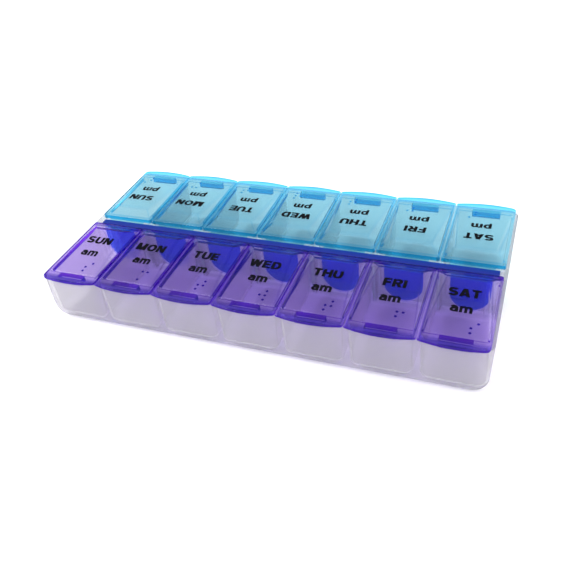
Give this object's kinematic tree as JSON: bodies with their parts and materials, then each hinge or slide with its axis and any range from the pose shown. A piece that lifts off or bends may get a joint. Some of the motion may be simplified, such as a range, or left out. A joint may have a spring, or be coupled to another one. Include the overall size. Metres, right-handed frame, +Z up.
{
  "type": "weekly pill organiser",
  "caption": "Frosted pill organiser tray with a morning and an evening row of compartments, each with its own tinted snap lid on a living hinge.",
  "frame": {"origin": "centre of the bounding box in plan, at the underside that rests on the table", "axes": "+X along the two rows towards Saturday, +Y from the morning row to the evening row, +Z up"},
  "size_m": [0.2206, 0.1108, 0.0309],
  "materials": {
    "frosted_base": "frosted translucent natural polypropylene",
    "am_lid": "clear purple tinted polypropylene, smooth",
    "pm_lid": "clear light blue tinted polypropylene, smooth",
    "am_strip": "clear purple tinted polypropylene, thick",
    "pm_strip": "clear blue tinted polypropylene, thick"
  },
  "bodies": {
    "tray": {"base_tray": "frosted_base", "am_hinge_strip": "am_strip", "am_living_hinge_sun": "am_lid", "am_living_hinge_mon": "am_lid", "am_living_hinge_tue": "am_lid", "am_living_hinge_wed": "am_lid", "am_living_hinge_thu": "am_lid", "am_living_hinge_fri": "am_lid", "am_living_hinge_sat": "am_lid", "pm_hinge_strip": "pm_strip", "pm_living_hinge_sun": "pm_lid", "pm_living_hinge_mon": "pm_lid", "pm_living_hinge_tue": "pm_lid", "pm_living_hinge_wed": "pm_lid", "pm_living_hinge_thu": "pm_lid", "pm_living_hinge_fri": "pm_lid", "pm_living_hinge_sat": "pm_lid"},
    "am_lid_sun": {"am_lid_sun": "am_lid"},
    "am_lid_mon": {"am_lid_mon": "am_lid"},
    "am_lid_tue": {"am_lid_tue": "am_lid"},
    "am_lid_wed": {"am_lid_wed": "am_lid"},
    "am_lid_thu": {"am_lid_thu": "am_lid"},
    "am_lid_fri": {"am_lid_fri": "am_lid"},
    "am_lid_sat": {"am_lid_sat": "am_lid"},
    "pm_lid_sun": {"pm_lid_sun": "pm_lid"},
    "pm_lid_mon": {"pm_lid_mon": "pm_lid"},
    "pm_lid_tue": {"pm_lid_tue": "pm_lid"},
    "pm_lid_wed": {"pm_lid_wed": "pm_lid"},
    "pm_lid_thu": {"pm_lid_thu": "pm_lid"},
    "pm_lid_fri": {"pm_lid_fri": "pm_lid"},
    "pm_lid_sat": {"pm_lid_sat": "pm_lid"}
  },
  "joints": [
    {"name": "am_lid_sun_hinge", "type": "hinge", "parent": "tray", "child": "am_lid_sun", "pos_m": [-0.0945, -0.0038, 0.0262], "axis": [-1, 0, 0], "range_deg": [0, 80]},
    {"name": "am_lid_mon_hinge", "type": "hinge", "parent": "tray", "child": "am_lid_mon", "pos_m": [-0.063, -0.0038, 0.0262], "axis": [-1, 0, 0], "range_deg": [0, 80]},
    {"name": "am_lid_tue_hinge", "type": "hinge", "parent": "tray", "child": "am_lid_tue", "pos_m": [-0.0315, -0.0038, 0.0262], "axis": [-1, 0, 0], "range_deg": [0, 80]},
    {"name": "am_lid_wed_hinge", "type": "hinge", "parent": "tray", "child": "am_lid_wed", "pos_m": [0, -0.0038, 0.0262], "axis": [-1, 0, 0], "range_deg": [0, 80]},
    {"name": "am_lid_thu_hinge", "type": "hinge", "parent": "tray", "child": "am_lid_thu", "pos_m": [0.0315, -0.0038, 0.0262], "axis": [-1, 0, 0], "range_deg": [0, 80]},
    {"name": "am_lid_fri_hinge", "type": "hinge", "parent": "tray", "child": "am_lid_fri", "pos_m": [0.063, -0.0038, 0.0262], "axis": [-1, 0, 0], "range_deg": [0, 80]},
    {"name": "am_lid_sat_hinge", "type": "hinge", "parent": "tray", "child": "am_lid_sat", "pos_m": [0.0945, -0.0038, 0.0262], "axis": [-1, 0, 0], "range_deg": [0, 80]},
    {"name": "pm_lid_sun_hinge", "type": "hinge", "parent": "tray", "child": "pm_lid_sun", "pos_m": [-0.0945, 0.0038, 0.0262], "axis": [1, 0, 0], "range_deg": [0, 80]},
    {"name": "pm_lid_mon_hinge", "type": "hinge", "parent": "tray", "child": "pm_lid_mon", "pos_m": [-0.063, 0.0038, 0.0262], "axis": [1, 0, 0], "range_deg": [0, 80]},
    {"name": "pm_lid_tue_hinge", "type": "hinge", "parent": "tray", "child": "pm_lid_tue", "pos_m": [-0.0315, 0.0038, 0.0262], "axis": [1, 0, 0], "range_deg": [0, 80]},
    {"name": "pm_lid_wed_hinge", "type": "hinge", "parent": "tray", "child": "pm_lid_wed", "pos_m": [0, 0.0038, 0.0262], "axis": [1, 0, 0], "range_deg": [0, 80]},
    {"name": "pm_lid_thu_hinge", "type": "hinge", "parent": "tray", "child": "pm_lid_thu", "pos_m": [0.0315, 0.0038, 0.0262], "axis": [1, 0, 0], "range_deg": [0, 80]},
    {"name": "pm_lid_fri_hinge", "type": "hinge", "parent": "tray", "child": "pm_lid_fri", "pos_m": [0.063, 0.0038, 0.0262], "axis": [1, 0, 0], "range_deg": [0, 80]},
    {"name": "pm_lid_sat_hinge", "type": "hinge", "parent": "tray", "child": "pm_lid_sat", "pos_m": [0.0945, 0.0038, 0.0262], "axis": [1, 0, 0], "range_deg": [0, 80]}
  ]
}
